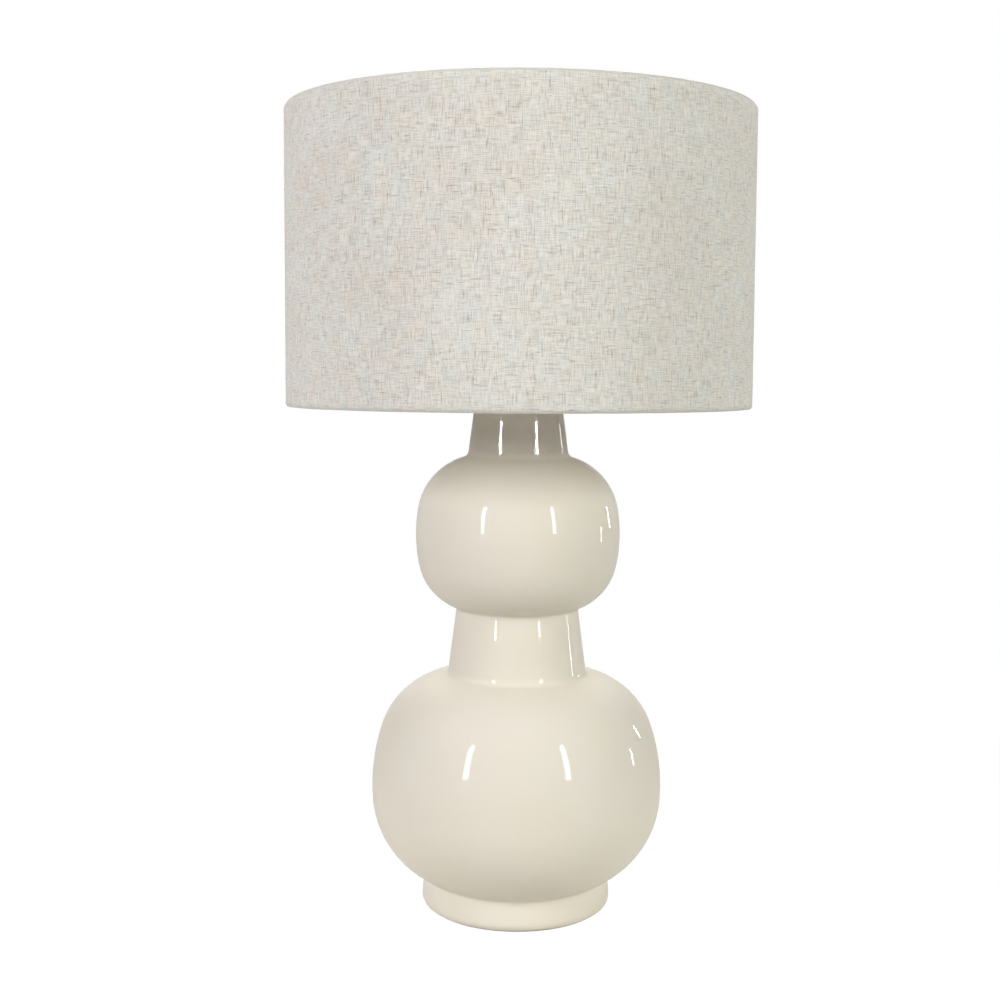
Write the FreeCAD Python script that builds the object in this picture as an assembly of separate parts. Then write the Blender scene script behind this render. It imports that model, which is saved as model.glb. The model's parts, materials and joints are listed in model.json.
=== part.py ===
"""Table lamp with a double gourd ceramic body, a linen drum shade, a wire harp and a turn-knob lampholder.

Millimetres. The origin is the middle of the underside that rests on the table, +Z is up and -Y is the
front. The body stands on a felt pad, a hollow threaded rod clamps it between a washer under its floor and
a metal cap on its neck, and the harp on that rod carries the shade by its spider.
"""

import FreeCAD
import Part

import math
import os

V = FreeCAD.Vector
UP = V(0, 0, 1)
BACK = V(0, 1, 0)
ORIGIN = V(0, 0, 0)

# Clearances
slip = 0.3                      # between pieces that move past each other
running = 0.06                  # round a shaft or rivet that turns in its hole
thread_gap = 0.08               # a thread drawn as a plain cylinder in its nut
snug = 0.1                      # between pieces that are pushed or glued together

# Felt pad
felt_thickness = 1.5
felt_margin = 2.0               # how far the felt stops inside the foot's flat ring

# Ceramic body, outside
foot_r = 82.7
foot_edge_inset = 4.1           # from the foot's widest place in to the edge of its flat ring
foot_belly_height = 6.9         # from the flat ring up to the foot's widest place
foot_taper_r = 66.8             # radius of the arc that draws the foot in above its widest place
lower_r = 127.1                 # largest radius of the lower gourd
lower_rise = 106.1              # from the flat ring up to the lower gourd's widest place
lower_side_arc = 166.6
lower_under_turn = 3.66         # degrees of side arc below the widest place
lower_under_arc = 83.1
lower_over_turn = 18.48         # degrees of side arc above the widest place
lower_over_arc = 67.5
gourd_spacing = 221.8           # from one gourd's widest place to the other's
upper_r = 88.9
upper_side_arc = 132.8
upper_under_turn = 11.88
upper_under_arc = 50.65
upper_over_turn = 9.75
upper_over_arc = 56.2
collar_bottom_r = 60.7
collar_top_r = 53.5
neck_bottom_r = 43.6
neck_top_r = 39.0
neck_height = 38.4              # from the upper gourd's crown to the neck's rim
foot_crease = 2.2               # the four creases' fillets, from the bottom up
collar_foot_crease = 5.0
upper_foot_crease = 2.2
neck_foot_crease = 6.0
rim_round = 2.5                 # rounding of the neck's outer rim

# Ceramic body, inside
wall = 5.0
floor_thickness = 6.0
foot_ring_width = 8.7
rod_hole_gap = 1.2              # the floor's hole round the rod
cord_hole_height = 9.5          # of the cord outlet's axis, above the flat ring

# Cord bushing in the back of the foot
bushing_bore_r = 3.4
bushing_wall = 1.3
bushing_flange = 1.8            # how far its flange stands out round its barrel
bushing_flange_thickness = 1.5
bushing_flange_round = 0.7
bushing_tail = 1.5              # how far its barrel reaches into the foot

# Threaded rod and its fasteners
rod_r = 5.0
rod_bore_r = 3.6
rod_tail = 2.0                  # past the bottom nut
rod_head = 8.0                  # above the harp's saddle
washer_r = 19.0
washer_thickness = 2.0
lock_washer_r = 8.6
lock_washer_thickness = 1.2
lock_washer_notches = 8
notch_width = 1.8
notch_depth = 2.1
nut_flats = 14.0
nut_chamfer = 0.57
nut_height = 5.0
top_nut_height = 4.0

# Cap on the neck
cap_sheet = 1.0
cap_height = 7.0
cap_lip_depth = 4.0
cap_crown_r = 10.0

# Harp saddle
saddle_sheet = 1.5
saddle_width = 13.0
saddle_half_span = 27.0         # from the axis to the inside of an upturned end
saddle_bend = 2.5
saddle_shoulder = 8.0           # height at which the end narrows to a tab
saddle_tab_width = 5.0
saddle_tab_height = 14.0

# Harp
harp_size = 228.6               # from the saddle's underside to the top of the seat
harp_wire_r = 1.75
harp_half_width = 56.0
harp_leg = 32.0                 # straight part of each leg
harp_splay = 30.0               # degrees that a leg leans out above its straight part
harp_splay_arc = 30.0
harp_top_arc = 45.0
harp_eye_r = 6.0
harp_eye_height = 4.5
rivet_r = 2.5
rivet_head_r = 4.2
rivet_head_thickness = 1.5
rivet_head_bevel = 0.8
seat_r = 8.5
seat_thickness = 2.5
seat_bevel = 0.7
stud_r = 3.175
stud_height = 12.5
stud_bevel = 0.5

# Ferrules that lock the harp to its saddle
ferrule_wall = 0.7
ferrule_length = 13.0
ferrule_bead = 0.45

# Shade
shade_r = 200.0
shade_height = 250.0
linen = 0.6
liner_sheet = 0.5
ring_wire_r = 1.5
hub_r = 12.5
hub_thickness = 1.6
spider_drop = 13.2              # from the shade's top edge down to the hub's underside
arm_wire_r = 1.2
arm_count = 3
arm_bend_arc = 8.0
arm_bend_angle = 35.0
arm_start_r = 7.6
arm_tail = 4.0                  # level part of an arm beside the ring

# Finial
finial_height = 24.0
finial_base_r = 6.4
finial_base_height = 2.0
finial_base_bevel = 0.8
finial_neck_r = 4.3
finial_ball_r = 7.4
finial_bore_depth = 11.5

# Lampholder
holder_hub_r = 7.6
holder_hub_height = 7.0
holder_sheet = 0.7
holder_cup_height = 7.0         # the flared part of its cap
holder_skirt = 8.5              # the straight part of its cap
shell_r = 17.5
shell_sheet = 0.5
shell_height = 50.0
shell_bead = 0.6
sleeve_sheet = 0.6
core_height = 25.0              # moulded switch block
core_flat = 12.5                # distance of its side flats from the axis
screw_shell_r = 13.65
screw_shell_sheet = 0.4
screw_shell_height = 24.0
contact_r = 2.5
contact_height = 2.5
contact_bevel = 1.0
shell_floor_r = 5.0             # hole in the screw shell's floor, round the contact
terminal_head_r = 3.0
terminal_head_thickness = 1.8
terminal_shank_r = 1.6
terminal_length = 5.0
set_screw_r = 1.5
set_screw_length = 4.0
screw_slot_width = 0.8
screw_slot_depth = 0.8

# Switch
switch_height = 11.0            # of its axis above the block's underside
shaft_r = 1.6
shaft_slot_gap = 0.8            # each side of the shaft, in the case and its sleeve
shaft_reach = 34.0              # how far forward the shaft's tip is from the lamp's axis
cam_r = 4.6
cam_thickness = 5.0
cam_arm_width = 6.4
knob_r = 5.6
knob_length = 13.0
knob_edge_round = 1.4
knob_grooves = 16
knob_groove_r = 0.55
knob_end = 1.0                  # plastic in front of the shaft's tip

# Bulb
bulb_r = 30.0
bulb_length = 110.0
bulb_glass_sheet = 0.8
bulb_neck_r = 12.1
bulb_neck_arc = 45.0
bulb_cap_r = 12.95
bulb_cap_sheet = 0.6
bulb_cap_height = 22.0
bulb_cap_shoulder = 2.6         # how much narrower the cap is at its lower end
bulb_cement_depth = 8.8         # how far the glass reaches down into the cap
bulb_tip_r = 4.8
bulb_tip_height = 1.0
bulb_insulator_height = 3.0


# Drawing helpers. A point is (r, z), and an outline is turned about the lamp's axis.
def flat(point):
    return V(point[0], 0, point[1])


def on_circle(centre, radius, degrees):
    a = math.radians(degrees)
    return (centre[0] + radius * math.cos(a), centre[1] + radius * math.sin(a))


def arc(centre, radius, start, end):
    """Arc about centre from one angle to another, in degrees above the outward direction."""
    points = [on_circle(centre, radius, a) for a in (start, (start + end) / 2, end)]
    return Part.Arc(*[flat(p) for p in points]).toShape()


def angle_of(centre, point):
    return math.degrees(math.atan2(point[1] - centre[1], point[0] - centre[0]))


def chain(*parts):
    """Edges through parts in order: a point is joined to the next by a line, and an arc is kept."""
    edges = []
    last = None
    for part in parts:
        start = flat(part) if isinstance(part, tuple) else part.firstVertex(True).Point
        end = flat(part) if isinstance(part, tuple) else part.lastVertex(True).Point
        if last is not None and last.distanceToPoint(start) > 1e-6:
            edges.append(Part.makeLine(last, start))
        if not isinstance(part, tuple):
            edges.append(part)
        last = end
    return edges


def face_of(*parts):
    return Part.Face(Part.Wire(chain(*parts, parts[0]) if isinstance(parts[0], tuple) else chain(*parts)))


def turned(*parts):
    """Solid of revolution about the lamp's axis from a closed outline that starts at a point."""
    return face_of(*parts).revolve(ORIGIN, UP, 360)


def tube(outer_r, inner_r, z0, z1):
    return turned((inner_r, z0), (outer_r, z0), (outer_r, z1), (inner_r, z1))


def rod(radius, z0, z1, x=0.0, y=0.0):
    return Part.makeCylinder(radius, z1 - z0, V(x, y, z0), UP)


def forward_rod(radius, y0, y1, z, x=0.0):
    """Cylinder along Y between y0 and y1."""
    return Part.makeCylinder(radius, y1 - y0, V(x, y0, z), BACK)


def block(x0, x1, y0, y1, z0, z1):
    return Part.makeBox(x1 - x0, y1 - y0, z1 - z0, V(x0, y0, z0))


def hexagon(flats, z0, z1, bore_r):
    corner = flats / math.sqrt(3)
    points = [V(corner * math.cos(math.radians(a)), corner * math.sin(math.radians(a)), z0)
              for a in range(30, 391, 60)]
    prism = Part.Face(Part.makePolygon(points)).extrude(V(0, 0, z1 - z0))
    chamfer = turned(
        (0, z0),
        (corner - nut_chamfer, z0),
        (corner, z0 + nut_chamfer),
        (corner, z1 - nut_chamfer),
        (corner - nut_chamfer, z1),
        (0, z1),
    )
    return prism.common(chamfer).cut(rod(bore_r, z0, z1))


def crease(centre, radius, line_start, line_end, fillet):
    """Fillet outside both a circle and a straight side that rises inwards beside it.

    Returns its centre, where it leaves the circle and where it meets the side. The fillet lies on the
    side's outer hand, above the circle where the side rises from it and below it otherwise.
    """
    dr, dz = line_end[0] - line_start[0], line_end[1] - line_start[1]
    length = math.hypot(dr, dz)
    normal = (abs(dz) / length, -dr / length if dz > 0 else dr / length)
    foot = (line_start[0] + normal[0] * fillet, line_start[1] + normal[1] * fillet)
    along = (dr / length, dz / length)
    to_foot = (foot[0] - centre[0], foot[1] - centre[1])
    b = to_foot[0] * along[0] + to_foot[1] * along[1]
    c = to_foot[0] ** 2 + to_foot[1] ** 2 - (radius + fillet) ** 2
    t = -b + math.sqrt(b * b - c)
    middle = (foot[0] + along[0] * t, foot[1] + along[1] * t)
    share = radius / (radius + fillet)
    on_arc = (centre[0] + (middle[0] - centre[0]) * share, centre[1] + (middle[1] - centre[1]) * share)
    on_side = (middle[0] - normal[0] * fillet, middle[1] - normal[1] * fillet)
    return middle, on_arc, on_side


def two_circle_crease(first, first_r, second, second_r, fillet):
    """Fillet outside two circles that cross, the first below the second: centre and both ends."""
    apart = math.hypot(second[0] - first[0], second[1] - first[1])
    a, b = first_r + fillet, second_r + fillet
    along = (a * a - b * b + apart * apart) / (2 * apart)
    across = math.sqrt(a * a - along * along)
    ur, uz = (second[0] - first[0]) / apart, (second[1] - first[1]) / apart
    middle = (first[0] + ur * along + uz * across, first[1] + uz * along - ur * across)
    ends = []
    for centre, radius in ((first, first_r), (second, second_r)):
        share = radius / (radius + fillet)
        ends.append((centre[0] + (middle[0] - centre[0]) * share, centre[1] + (middle[1] - centre[1]) * share))
    return middle, ends[0], ends[1]


def crease_arc(middle, fillet, start, end):
    """The fillet's arc, which bulges towards the lamp's axis."""
    a, b = angle_of(middle, start) % 360, angle_of(middle, end) % 360
    return arc(middle, fillet, a, b)


class Gourd:
    """One swelling of the body: a wide side arc, carried on by a tighter arc below and one above."""

    def __init__(self, radius, mid_z, side_arc, under_turn, under_arc, over_turn, over_arc):
        self.mid = (radius - side_arc, mid_z)
        self.side_arc = side_arc
        self.under_turn, self.under_arc = under_turn, under_arc
        self.over_turn, self.over_arc = over_turn, over_arc
        self.under = on_circle(self.mid, side_arc - under_arc, -under_turn)
        self.over = on_circle(self.mid, side_arc - over_arc, over_turn)

    def bottom_z(self):
        return self.under[1] - self.under_arc

    def crown_z(self):
        return self.over[1] + self.over_arc

    def edges(self, start, end, inset):
        """The three arcs, inset into the clay, from a point on the lowest to a point on the highest."""
        return [
            arc(self.under, self.under_arc - inset, angle_of(self.under, start), -self.under_turn),
            arc(self.mid, self.side_arc - inset, -self.under_turn, self.over_turn),
            arc(self.over, self.over_arc - inset, self.over_turn, angle_of(self.over, end)),
        ]


lower = Gourd(lower_r, felt_thickness + lower_rise, lower_side_arc,
              lower_under_turn, lower_under_arc, lower_over_turn, lower_over_arc)
upper = Gourd(upper_r, felt_thickness + lower_rise + gourd_spacing, upper_side_arc,
              upper_under_turn, upper_under_arc, upper_over_turn, upper_over_arc)

# Levels and radii worked out from the sizes above, from the bottom up
flat_ring_z = felt_thickness
flat_ring_r = foot_r - foot_edge_inset
belly_z = flat_ring_z + foot_belly_height
recess_r = foot_r - foot_ring_width
cord_hole_z = flat_ring_z + cord_hole_height
floor_top_z = lower.bottom_z() + wall
floor_under_z = floor_top_z - floor_thickness
washer_z = floor_under_z - washer_thickness
lock_washer_z = washer_z - lock_washer_thickness
bottom_nut_z = lock_washer_z - nut_height
bore_on_rod = rod_r + thread_gap
neck_bottom_z = upper.crown_z()
neck_top_z = neck_bottom_z + neck_height
cap_top_z = neck_top_z + cap_height
saddle_z = cap_top_z + top_nut_height
saddle_top_z = saddle_z + saddle_sheet
shoulder_z = saddle_z + saddle_shoulder
seat_top_z = saddle_z + harp_size
seat_under_z = seat_top_z - seat_thickness
eye_top_z = seat_under_z - slip
eye_under_z = eye_top_z - harp_eye_height
harp_top_z = (eye_top_z + eye_under_z) / 2
leg_x = saddle_half_span + saddle_sheet + slip + harp_wire_r
leg_z = shoulder_z + slip
hub_z = seat_top_z + snug
hem_r = linen + ring_wire_r + running       # outer radius of the hem's roll
ring_r = shade_r - hem_r                    # the two rings' centre line
top_ring_z = hub_z + spider_drop - hem_r
bottom_ring_z = hub_z + spider_drop - shade_height + hem_r
holder_top_hub_z = saddle_top_z + holder_hub_height
holder_rim_z = holder_top_hub_z + holder_cup_height
holder_inner_r = shell_r + slip
set_screw_z = saddle_top_z + holder_hub_height / 2
shell_top_z = holder_rim_z + shell_height
sleeve_r = shell_r - shell_sheet - snug
core_r = sleeve_r - sleeve_sheet - slip
core_top_z = holder_rim_z + core_height
switch_z = holder_rim_z + switch_height
contact_top_z = core_top_z + contact_height
bulb_z = contact_top_z + slip
insulator_z = bulb_z + bulb_tip_height
cap_low_z = insulator_z + bulb_insulator_height
cap_high_z = cap_low_z + bulb_cap_height
bulb_centre_z = bulb_z + bulb_length - bulb_r


def leaned(bottom, top, inset):
    """The straight side from bottom to top, inset into the clay."""
    shift = inset * math.hypot(top[0] - bottom[0], top[1] - bottom[1]) / (top[1] - bottom[1])
    return (bottom[0] - shift, bottom[1]), (top[0] - shift, top[1])


def neck_side(inset):
    return leaned((neck_bottom_r, neck_bottom_z), (neck_top_r, neck_top_z), inset)


def body_side(start, inset):
    """The body's side, inset into the clay, from a point on the lower gourd's lowest arc up to the neck."""
    collar = leaned((collar_bottom_r, lower.crown_z()), (collar_top_r, upper.bottom_z()), inset)
    neck = neck_side(inset)
    c1, a1, b1 = crease(lower.over, lower.over_arc - inset, collar[0], collar[1], collar_foot_crease + inset)
    c2, a2, b2 = crease(upper.under, upper.under_arc - inset, collar[1], collar[0], upper_foot_crease + inset)
    c3, a3, b3 = crease(upper.over, upper.over_arc - inset, neck[0], neck[1], neck_foot_crease + inset)
    return [
        *lower.edges(start, a1, inset),
        crease_arc(c1, collar_foot_crease + inset, a1, b1),
        crease_arc(c2, upper_foot_crease + inset, b2, a2),
        *upper.edges(a2, a3, inset),
        crease_arc(c3, neck_foot_crease + inset, a3, b3),
    ]


def ceramic_body():
    """Glazed shell with the foot ring, floor, cord outlet and open neck, cast in one piece."""
    edge_arc = (foot_edge_inset ** 2 + foot_belly_height ** 2) / (2 * foot_edge_inset)
    edge = (foot_r - edge_arc, belly_z)
    taper = (foot_r - foot_taper_r, belly_z)
    middle, on_foot, on_gourd = two_circle_crease(taper, foot_taper_r, lower.under, lower.under_arc, foot_crease)
    lean = math.degrees(math.atan2(neck_bottom_r - neck_top_r, neck_height))
    rim = (neck_top_r - rim_round, neck_top_z - rim_round)
    outer = turned(
        (0, flat_ring_z),
        (flat_ring_r, flat_ring_z),
        arc(edge, edge_arc, angle_of(edge, (flat_ring_r, flat_ring_z)), 0),
        arc(taper, foot_taper_r, 0, angle_of(taper, on_foot)),
        crease_arc(middle, foot_crease, on_foot, on_gourd),
        *body_side(on_gourd, 0),
        arc(rim, rim_round, lean, 90),
        (0, neck_top_z),
    )
    start = (lower.under[0], floor_top_z)
    hollow = turned((0, floor_top_z), start, *body_side(start, wall), neck_side(wall)[1], (0, neck_top_z))
    body = outer.cut(hollow)
    body = body.cut(rod(recess_r, flat_ring_z, floor_under_z))
    body = body.cut(rod(rod_r + rod_hole_gap, floor_under_z, floor_top_z))
    hole_r = bushing_bore_r + bushing_wall + snug
    return body.cut(forward_rod(hole_r, recess_r - bushing_tail, foot_r + bushing_tail, cord_hole_z))


def felt_pad():
    return rod(flat_ring_r - felt_margin, 0, felt_thickness)


def cord_bushing():
    """Flanged bush that lines the cord's way out of the back of the foot."""
    barrel_r = bushing_bore_r + bushing_wall
    inner_end = recess_r - bushing_tail
    flange_y = foot_r + running
    outer_end = flange_y + bushing_flange_thickness
    flange = forward_rod(barrel_r + bushing_flange, flange_y, outer_end, cord_hole_z)
    flange = flange.makeFillet(bushing_flange_round, [flange.Edges[0]])
    bush = flange.fuse(forward_rod(barrel_r, inner_end, flange_y, cord_hole_z))
    return bush.cut(forward_rod(bushing_bore_r, inner_end, outer_end, cord_hole_z))


def threaded_rod():
    return tube(rod_r, rod_bore_r, bottom_nut_z - rod_tail, saddle_top_z + rod_head)


def lock_washer():
    """Washer with notches round its edge."""
    disc = tube(lock_washer_r, bore_on_rod, lock_washer_z, washer_z)
    notch = block(lock_washer_r - notch_depth, lock_washer_r + notch_depth,
                  -notch_width / 2, notch_width / 2, lock_washer_z, washer_z)
    for i in range(lock_washer_notches):
        disc = disc.cut(notch.rotated(ORIGIN, UP, 360 * i / lock_washer_notches))
    return disc


def vase_cap():
    """Spun cap on the neck's rim, domed up to a flat crown, with a lip that centres it in the mouth."""
    rim_r = neck_top_r - rim_round
    mouth_r = neck_top_r - wall * math.hypot(neck_bottom_r - neck_top_r, neck_height) / neck_height
    lip_r = mouth_r - slip
    top = neck_top_z + cap_height
    base = neck_top_z + cap_sheet
    return turned(
        (bore_on_rod, top - cap_sheet),
        (cap_crown_r, top - cap_sheet),
        (lip_r - 2 * cap_sheet, neck_top_z),
        (lip_r - cap_sheet, neck_top_z),
        (lip_r - cap_sheet, neck_top_z - cap_lip_depth),
        (lip_r, neck_top_z - cap_lip_depth),
        (lip_r, neck_top_z),
        (rim_r, neck_top_z),
        (rim_r, base),
        (lip_r - cap_sheet, base),
        (cap_crown_r, top),
        (bore_on_rod, top),
    )


def harp_saddle():
    """Strip bent up at both ends, each end narrowed to a tab that a harp leg stands against."""
    inside, outside = saddle_half_span, saddle_half_span + saddle_sheet
    top = shoulder_z + saddle_tab_height
    bend_z = saddle_z + saddle_bend + saddle_sheet
    bend_x = inside - saddle_bend
    half = [
        (0, saddle_z),
        arc((bend_x, bend_z), saddle_bend + saddle_sheet, -90, 0),
        (outside, top),
        (inside, top),
        arc((bend_x, bend_z), saddle_bend, 0, -90),
        (0, saddle_top_z),
    ]
    strip = face_of(*half).extrude(V(0, saddle_width, 0)).translated(V(0, -saddle_width / 2, 0))
    for side in (-1, 1):
        y0 = saddle_tab_width / 2 if side > 0 else -saddle_width
        y1 = saddle_width if side > 0 else -saddle_tab_width / 2
        strip = strip.cut(block(0, 2 * outside, y0, y1, shoulder_z, 2 * top))
    other = strip.mirror(ORIGIN, V(1, 0, 0))
    return strip.fuse(other).removeSplitter().cut(rod(bore_on_rod, saddle_z, saddle_top_z))


def harp_bow():
    """Bent wire: two straight legs, splayed sides and a round top, brazed to an eye in the middle."""
    a = math.radians(harp_splay)
    out = harp_half_width - leg_x
    run = (out - 2 * harp_splay_arc * (1 - math.cos(a))) / math.sin(a)
    z1 = leg_z + harp_leg
    c1 = (leg_x + harp_splay_arc, z1)
    p1 = on_circle(c1, harp_splay_arc, 180 - harp_splay)
    p2 = (p1[0] + run * math.sin(a), p1[1] + run * math.cos(a))
    c2 = (harp_half_width - harp_splay_arc, p2[1] + harp_splay_arc * math.sin(a))
    c3 = (harp_half_width - harp_top_arc, harp_top_z - harp_top_arc)
    right = chain(
        (leg_x, leg_z),
        arc(c1, harp_splay_arc, 180, 180 - harp_splay),
        arc(c2, harp_splay_arc, -harp_splay, 0),
        arc(c3, harp_top_arc, 0, 90),
        (0, harp_top_z),
    )
    section = Part.Wire(Part.makeCircle(harp_wire_r, V(leg_x, 0, leg_z), UP))
    half = Part.Wire(right).makePipeShell([section], True, False)
    other = half.mirror(ORIGIN, V(1, 0, 0))
    eye = rod(harp_eye_r, eye_under_z, eye_top_z)
    return half.fuse([other, eye]).removeSplitter().cut(rod(rivet_r + running, eye_under_z, eye_top_z))


def harp_swivel():
    """Seat disc with the stud above it, riveted through the harp's eye so that it turns there."""
    head_top = eye_under_z - slip
    head_low = head_top - rivet_head_thickness
    tip = seat_top_z + stud_height
    return turned(
        (0, head_low),
        (rivet_head_r - rivet_head_bevel, head_low),
        (rivet_head_r, head_low + rivet_head_bevel),
        (rivet_head_r, head_top),
        (rivet_r, head_top),
        (rivet_r, seat_under_z),
        (seat_r - seat_bevel, seat_under_z),
        (seat_r, seat_under_z + seat_bevel),
        (seat_r, seat_top_z),
        (stud_r, seat_top_z),
        (stud_r, tip - stud_bevel),
        (stud_r - stud_bevel, tip),
        (0, tip),
    )


def ferrule(side):
    """Sleeve round a harp leg and the saddle's tab, with a bead at each end."""
    reach = leg_x + harp_wire_r + slip - saddle_half_span
    tab = saddle_tab_width / 2
    inner = (reach ** 2 + tab ** 2 - slip ** 2) / (2 * (reach - slip))
    centre_x = saddle_half_span + reach - inner
    outer = inner + ferrule_wall
    z0 = shoulder_z + slip
    z1 = z0 + ferrule_length
    b = ferrule_bead
    sleeve = turned(
        (inner, z0),
        (outer + b, z0),
        (outer + b, z0 + 2 * b),
        (outer, z0 + 3 * b),
        (outer, z1 - 3 * b),
        (outer + b, z1 - 2 * b),
        (outer + b, z1),
        (inner, z1),
    )
    return sleeve.translated(V(side * centre_x, 0, 0))


def spider_arm(angle):
    """Wire from the hub's top face, level, then up to the top ring's inner side."""
    z0 = hub_z + hub_thickness + arm_wire_r
    rise = top_ring_z - z0
    a = math.radians(arm_bend_angle)
    run = (rise - 2 * arm_bend_arc * (1 - math.cos(a))) / math.sin(a)
    level_r = ring_r - ring_wire_r - arm_tail
    bend_width = 2 * arm_bend_arc * math.sin(a) + run * math.cos(a)
    c1 = (level_r - bend_width, z0 + arm_bend_arc)
    c2 = (level_r, top_ring_z - arm_bend_arc)
    path = chain(
        (arm_start_r, z0),
        arc(c1, arm_bend_arc, -90, arm_bend_angle - 90),
        arc(c2, arm_bend_arc, 90 + arm_bend_angle, 90),
        (ring_r, top_ring_z),
    )
    section = Part.Wire(Part.makeCircle(arm_wire_r, V(arm_start_r, 0, z0), V(1, 0, 0)))
    wire = Part.Wire(path).makePipeShell([section], True, False)
    return wire.rotated(ORIGIN, UP, angle)


def arm_angles():
    return [90 + 360 * i / arm_count for i in range(arm_count)]


def shade_ring(z):
    return Part.makeTorus(ring_r, ring_wire_r, V(0, 0, z), UP)


def spider_arms():
    ring = shade_ring(top_ring_z)
    return Part.makeCompound([spider_arm(a).cut(ring) for a in arm_angles()])


def shade_linen():
    """Linen skin, rolled round both rings, notched in the top roll where the spider's arms pass."""
    inner = hem_r - linen
    top, low = (ring_r, top_ring_z), (ring_r, bottom_ring_z)
    skin = turned(
        (shade_r, bottom_ring_z),
        arc(top, hem_r, 0, 270),
        arc(top, inner, 270, 0),
        arc(low, inner, 0, -270),
        arc(low, hem_r, -270, 0),
    )
    reach = hem_r + slip
    notch = Part.makeCylinder(arm_wire_r + snug, reach, V(ring_r - reach, 0, top_ring_z), V(1, 0, 0))
    for angle in arm_angles():
        skin = skin.cut(notch.rotated(ORIGIN, UP, angle))
    return skin


def shade_liner():
    """Stiff white sheet that the linen is glued to, between the two rolled hems."""
    outer = shade_r - linen - running
    return tube(outer, outer - liner_sheet, bottom_ring_z + hem_r + snug, top_ring_z - hem_r - snug)


def finial():
    """Turned knob: flat base, waist and ball, bored from below for the stud."""
    z0 = hub_z + hub_thickness + snug
    top = z0 + finial_height
    ball = (0, top - finial_ball_r)
    waist_z = z0 + finial_base_height
    meet = math.degrees(math.asin(finial_neck_r / finial_ball_r)) - 90
    waist = on_circle(ball, finial_ball_r, meet)
    solid = turned(
        (0, z0),
        (finial_base_r, z0),
        (finial_base_r, waist_z - finial_base_bevel),
        (finial_base_r - finial_base_bevel, waist_z),
        (finial_neck_r, waist_z),
        waist,
        arc(ball, finial_ball_r, meet, 90),
    )
    return solid.cut(rod(stud_r + thread_gap, z0, z0 + finial_bore_depth))


def holder_cap():
    """Lower half of the lampholder's metal case: threaded hub, flare and straight skirt."""
    t = holder_sheet
    skirt_top = holder_rim_z + holder_skirt
    cap = turned(
        (bore_on_rod, saddle_top_z),
        (holder_hub_r, saddle_top_z),
        (holder_hub_r, holder_top_hub_z),
        (holder_inner_r + t, holder_rim_z),
        (holder_inner_r + t, skirt_top),
        (holder_inner_r, skirt_top),
        (holder_inner_r, holder_rim_z),
        (holder_hub_r - t, holder_top_hub_z + t),
        (bore_on_rod, holder_top_hub_z + t),
    )
    return cap.cut(forward_rod(set_screw_r + thread_gap, 0, 2 * holder_hub_r, set_screw_z))


def holder_set_screw():
    y0 = rod_r + running
    y1 = y0 + set_screw_length
    screw = forward_rod(set_screw_r, y0, y1, set_screw_z)
    slot = block(-set_screw_r, set_screw_r, y1 - screw_slot_depth, y1,
                 set_screw_z - screw_slot_width / 2, set_screw_z + screw_slot_width / 2)
    return screw.cut(slot)


def holder_shell():
    """Upper half of the case, with a bead round its mouth and a slot for the switch shaft."""
    inner = shell_r - shell_sheet
    b = shell_bead
    shell = turned(
        (inner, holder_rim_z),
        (shell_r, holder_rim_z),
        (shell_r, shell_top_z - 4 * b),
        (shell_r + b, shell_top_z - 3 * b),
        (shell_r + b, shell_top_z - b),
        (shell_r, shell_top_z),
        (inner, shell_top_z),
    )
    return shell.cut(shaft_slot())


def shaft_slot():
    """Slot in the front, from the case's lower edge up past the switch shaft."""
    half = shaft_r + shaft_slot_gap
    y0 = -2 * shell_r
    round_end = forward_rod(half, y0, 0, switch_z)
    return round_end.fuse(block(-half, half, y0, 0, holder_rim_z, switch_z))


def holder_sleeve():
    """Insulating fibre sleeve between the case and the live screw shell."""
    top = shell_top_z - 4 * shell_bead
    return tube(sleeve_r, sleeve_r - sleeve_sheet, holder_rim_z, top).cut(shaft_slot())


def switch_core():
    """Moulded block with side flats for the terminals and a chamber for the switch cam."""
    core = rod(core_r, holder_rim_z, core_top_z)
    for side in (-1, 1):
        flat_block = block(core_flat, 2 * core_r, -core_r, core_r, holder_rim_z, core_top_z)
        core = core.cut(flat_block if side > 0 else flat_block.mirror(ORIGIN, V(1, 0, 0)))
        core = core.cut(Part.makeCylinder(terminal_shank_r + thread_gap, terminal_length + snug,
                                          V(side * core_flat, 0, switch_z), V(-side, 0, 0)))
    core = core.cut(forward_rod(cam_r + slip, -cam_thickness / 2 - slip, cam_thickness / 2 + slip, switch_z))
    return core.cut(forward_rod(shaft_r + running, -2 * core_r, 0, switch_z))


def terminal_screws():
    """Two slotted screws that would clamp the cord's two wires."""
    made = []
    for side in (-1, 1):
        base = V(side * (core_flat + running), 0, switch_z)
        head = Part.makeCylinder(terminal_head_r, terminal_head_thickness, base, V(side, 0, 0))
        shank = Part.makeCylinder(terminal_shank_r, terminal_length, base, V(-side, 0, 0))
        far = side * (core_flat + running + terminal_head_thickness)
        near = far - side * screw_slot_depth
        slot = block(min(near, far), max(near, far), -terminal_head_r, terminal_head_r,
                     switch_z - screw_slot_width / 2, switch_z + screw_slot_width / 2)
        made.append(head.fuse(shank).removeSplitter().cut(slot))
    return Part.makeCompound(made)


def screw_shell():
    """Brass cup that takes the bulb's cap, its thread drawn as a plain wall."""
    inner = screw_shell_r - screw_shell_sheet
    top = core_top_z + screw_shell_height
    floor = core_top_z + screw_shell_sheet
    return turned(
        (shell_floor_r, core_top_z),
        (screw_shell_r, core_top_z),
        (screw_shell_r, top),
        (inner, top),
        (inner, floor),
        (shell_floor_r, floor),
    )


def centre_contact():
    return turned(
        (0, core_top_z),
        (contact_r, core_top_z),
        (contact_r, contact_top_z - contact_bevel),
        (contact_r - contact_bevel, contact_top_z),
        (0, contact_top_z),
    )


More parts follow.
